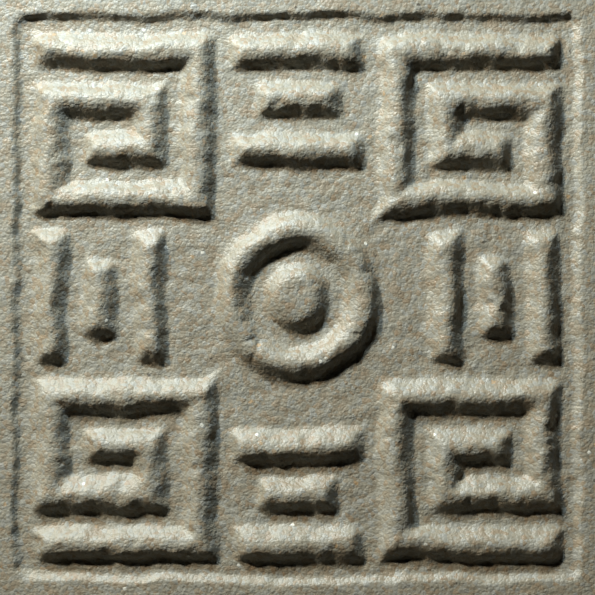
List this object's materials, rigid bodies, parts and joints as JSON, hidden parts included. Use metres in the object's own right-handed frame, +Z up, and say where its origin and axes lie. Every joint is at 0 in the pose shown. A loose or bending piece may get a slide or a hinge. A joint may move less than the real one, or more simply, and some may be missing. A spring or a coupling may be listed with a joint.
{
  "type": "teapot",
  "caption": "Round unglazed clay teapot with a short spout, an ear handle, a pierced inner strainer, a lift-off domed lid with a knob and a square seal panel pressed under its base.",
  "frame": {"origin": "middle of the foot ring, on the surface the pot stands on", "axes": "+Z up along the pot's axis, +X towards the spout, the handle towards -X"},
  "size_m": [0.1596, 0.094, 0.0746],
  "materials": {
    "body_clay": "burnished, unglazed",
    "raw_clay": "sandy, unglazed"
  },
  "bodies": {
    "pot": {"body_wall": "body_clay", "base_slab": "raw_clay", "foot_ring": "body_clay", "shoulder_slab": "body_clay", "neck_ring": "body_clay", "spout": "body_clay", "spout_strainer": "raw_clay", "handle": "body_clay"},
    "lid": {"lid_dome": "body_clay", "lid_rim": "body_clay", "lid_flange": "raw_clay", "knob": "body_clay"}
  },
  "joints": [
    {"name": "lid_lift", "type": "slide", "parent": "pot", "child": "lid", "axis": [0, 0, 1], "range_m": [0, 0.06]}
  ]
}
